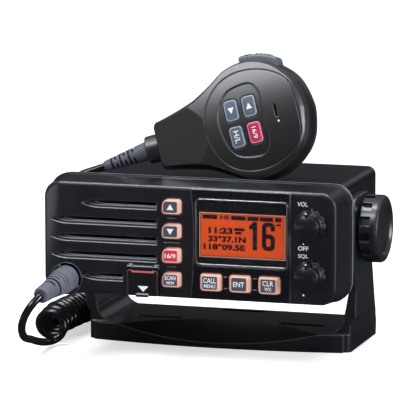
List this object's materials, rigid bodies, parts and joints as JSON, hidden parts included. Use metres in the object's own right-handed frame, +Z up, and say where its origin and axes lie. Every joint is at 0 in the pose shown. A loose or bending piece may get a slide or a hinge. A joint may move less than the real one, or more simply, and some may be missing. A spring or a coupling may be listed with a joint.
{
  "type": "vhf marine radio",
  "caption": "Fixed-mount marine radio with a lit display, keys and rotary controls on a tilting bracket, with a fist microphone on a curly cord.",
  "frame": {"origin": "centre of the bracket's foot on the surface it stands on, under the tilt axis", "axes": "+X to the right seen from the front, +Y to the back, +Z up; the panel faces -Y"},
  "size_m": [0.1866, 0.2068, 0.1595],
  "materials": {
    "case_moulding": "satin",
    "bracket_moulding": "satin",
    "chassis_paint": "satin",
    "mic_moulding": "satin",
    "knob_moulding": "satin",
    "key_salmon": "satin",
    "key_red": "satin",
    "mic_key_grey": "satin",
    "mic_key_pink": "satin",
    "talk_grey": "satin",
    "boot_grey": "satin",
    "cord_black": "gloss",
    "rubber_black": "matte",
    "lens_clear": "gloss",
    "trim_silver": "polished",
    "mask_black": "gloss",
    "lcd_orange": "satin",
    "board_green": "satin",
    "steel": "satin",
    "nickel": "satin",
    "insulator_white": "satin",
    "cover_red_black": "satin",
    "cone_paper": "matte",
    "aluminium": "satin"
  },
  "bodies": {
    "bracket": {"mounting_bracket": "bracket_moulding", "front_cord_lead": "cord_black", "curly_cord": "cord_black", "rear_cord_lead": "cord_black"},
    "radio": {"tilt_washers": "rubber_black", "chassis": "chassis_paint", "front_gasket": "rubber_black", "front_bezel": "case_moulding", "chassis_screws": "steel", "display_trim": "trim_silver", "display_window": "lens_clear", "display_mask": "mask_black", "lcd_module": "lcd_orange", "display_board": "board_green", "keypad_mat": "rubber_black", "distress_hinge_pin": "steel", "speaker_basket": "steel", "speaker_cone": "cone_paper", "potentiometers": "steel", "main_board": "board_green", "rf_shield": "steel", "power_amplifier": "rubber_black", "antenna_socket": "nickel", "antenna_insulator": "insulator_white", "cable_grommets": "rubber_black", "panel_cord_collar": "rubber_black", "panel_cord_boot": "boot_grey", "top_cord_lead": "cord_black"},
    "microphone": {"mic_front_shell": "mic_moulding", "mic_back_shell": "mic_moulding", "mic_front_plate": "mic_moulding", "mic_keypad_mat": "rubber_black", "mic_board": "board_green", "mic_element": "aluminium", "mic_screws": "steel", "mic_hanger_stud": "nickel", "mic_collar": "rubber_black", "mic_cord_boot": "boot_grey"},
    "left_tilt_knob": {"tilt_knob_left": "knob_moulding", "tilt_stud_left": "steel"},
    "right_tilt_knob": {"tilt_knob_right": "knob_moulding", "tilt_stud_right": "steel"},
    "volume_control": {"volume_knob": "knob_moulding", "volume_spindle": "steel"},
    "squelch_control": {"squelch_knob": "knob_moulding", "squelch_spindle": "steel"},
    "cover": {"distress_cover": "cover_red_black"},
    "distress": {"distress_button": "key_red"},
    "talk": {"talk_button": "talk_grey"},
    "up_button": {"up_key": "key_salmon"},
    "down_button": {"down_key": "key_salmon"},
    "channel_button": {"channel_key": "key_red"},
    "scan_button": {"scan_key": "key_salmon"},
    "call_button": {"call_key": "key_salmon"},
    "enter_button": {"enter_key": "key_salmon"},
    "clear_button": {"clear_key": "key_salmon"},
    "mic_down_button": {"mic_down_key": "mic_key_grey"},
    "mic_up_button": {"mic_up_key": "mic_key_grey"},
    "mic_power_button": {"mic_power_key": "mic_key_grey"},
    "mic_channel_button": {"mic_channel_key": "mic_key_pink"}
  },
  "joints": [
    {"name": "tilt", "type": "hinge", "parent": "bracket", "child": "radio", "pos_m": [0, 0, 0.065], "axis": [1, 0, 0], "range_deg": [-20, 20], "deforming": ["front_cord_lead", "rear_cord_lead"]},
    {"name": "mic_lift", "type": "slide", "parent": "radio", "child": "microphone", "axis": [0, 0, 1], "range_m": [0, 0.04], "deforming": ["top_cord_lead"]},
    {"name": "left_knob_turn", "type": "hinge", "parent": "radio", "child": "left_tilt_knob", "pos_m": [-0.08, 0, 0.065], "axis": [-1, 0, 0], "continuous": true},
    {"name": "right_knob_turn", "type": "hinge", "parent": "radio", "child": "right_tilt_knob", "pos_m": [0.08, 0, 0.065], "axis": [1, 0, 0], "continuous": true},
    {"name": "volume_turn", "type": "hinge", "parent": "radio", "child": "volume_control", "pos_m": [0.0664, -0.075, 0.0777], "axis": [0, 1, 0], "range_deg": [-150, 150]},
    {"name": "squelch_turn", "type": "hinge", "parent": "radio", "child": "squelch_control", "pos_m": [0.0664, -0.075, 0.051], "axis": [0, 1, 0], "range_deg": [-150, 150]},
    {"name": "cover_hinge", "type": "hinge", "parent": "radio", "child": "cover", "pos_m": [-0.02475, -0.07365, 0.051], "axis": [-1, 0, 0], "range_deg": [0, 100], "stiffness_Nm_per_rad": 0.003, "springref_deg": -22.92},
    {"name": "distress_press", "type": "slide", "parent": "radio", "child": "distress", "axis": [0, 1, 0], "range_m": [0, 0.0008], "stiffness_N_per_m": 1500, "springref_m": -0.0005},
    {"name": "up_press", "type": "slide", "parent": "radio", "child": "up_button", "axis": [0, 1, 0], "range_m": [0, 0.0008], "stiffness_N_per_m": 1500, "springref_m": -0.0005},
    {"name": "down_press", "type": "slide", "parent": "radio", "child": "down_button", "axis": [0, 1, 0], "range_m": [0, 0.0008], "stiffness_N_per_m": 1500, "springref_m": -0.0005},
    {"name": "channel_press", "type": "slide", "parent": "radio", "child": "channel_button", "axis": [0, 1, 0], "range_m": [0, 0.0008], "stiffness_N_per_m": 1500, "springref_m": -0.0005},
    {"name": "scan_press", "type": "slide", "parent": "radio", "child": "scan_button", "axis": [0, 1, 0], "range_m": [0, 0.0008], "stiffness_N_per_m": 1500, "springref_m": -0.0005},
    {"name": "call_press", "type": "slide", "parent": "radio", "child": "call_button", "axis": [0, 1, 0], "range_m": [0, 0.0008], "stiffness_N_per_m": 1500, "springref_m": -0.0005},
    {"name": "enter_press", "type": "slide", "parent": "radio", "child": "enter_button", "axis": [0, 1, 0], "range_m": [0, 0.0008], "stiffness_N_per_m": 1500, "springref_m": -0.0005},
    {"name": "clear_press", "type": "slide", "parent": "radio", "child": "clear_button", "axis": [0, 1, 0], "range_m": [0, 0.0008], "stiffness_N_per_m": 1500, "springref_m": -0.0005},
    {"name": "mic_down_press", "type": "slide", "parent": "microphone", "child": "mic_down_button", "axis": [0, 0.9781, -0.2079], "range_m": [0, 0.0006], "stiffness_N_per_m": 1500, "springref_m": -0.0005},
    {"name": "mic_up_press", "type": "slide", "parent": "microphone", "child": "mic_up_button", "axis": [0, 0.9781, -0.2079], "range_m": [0, 0.0006], "stiffness_N_per_m": 1500, "springref_m": -0.0005},
    {"name": "mic_power_press", "type": "slide", "parent": "microphone", "child": "mic_power_button", "axis": [0, 0.9781, -0.2079], "range_m": [0, 0.0006], "stiffness_N_per_m": 1500, "springref_m": -0.0005},
    {"name": "mic_channel_press", "type": "slide", "parent": "microphone", "child": "mic_channel_button", "axis": [0, 0.9781, -0.2079], "range_m": [0, 0.0006], "stiffness_N_per_m": 1500, "springref_m": -0.0005},
    {"name": "talk_press", "type": "slide", "parent": "microphone", "child": "talk", "axis": [0.2924, -0.1988, -0.9354], "range_m": [0, 0.0015], "stiffness_N_per_m": 1500, "springref_m": -0.001}
  ]
}
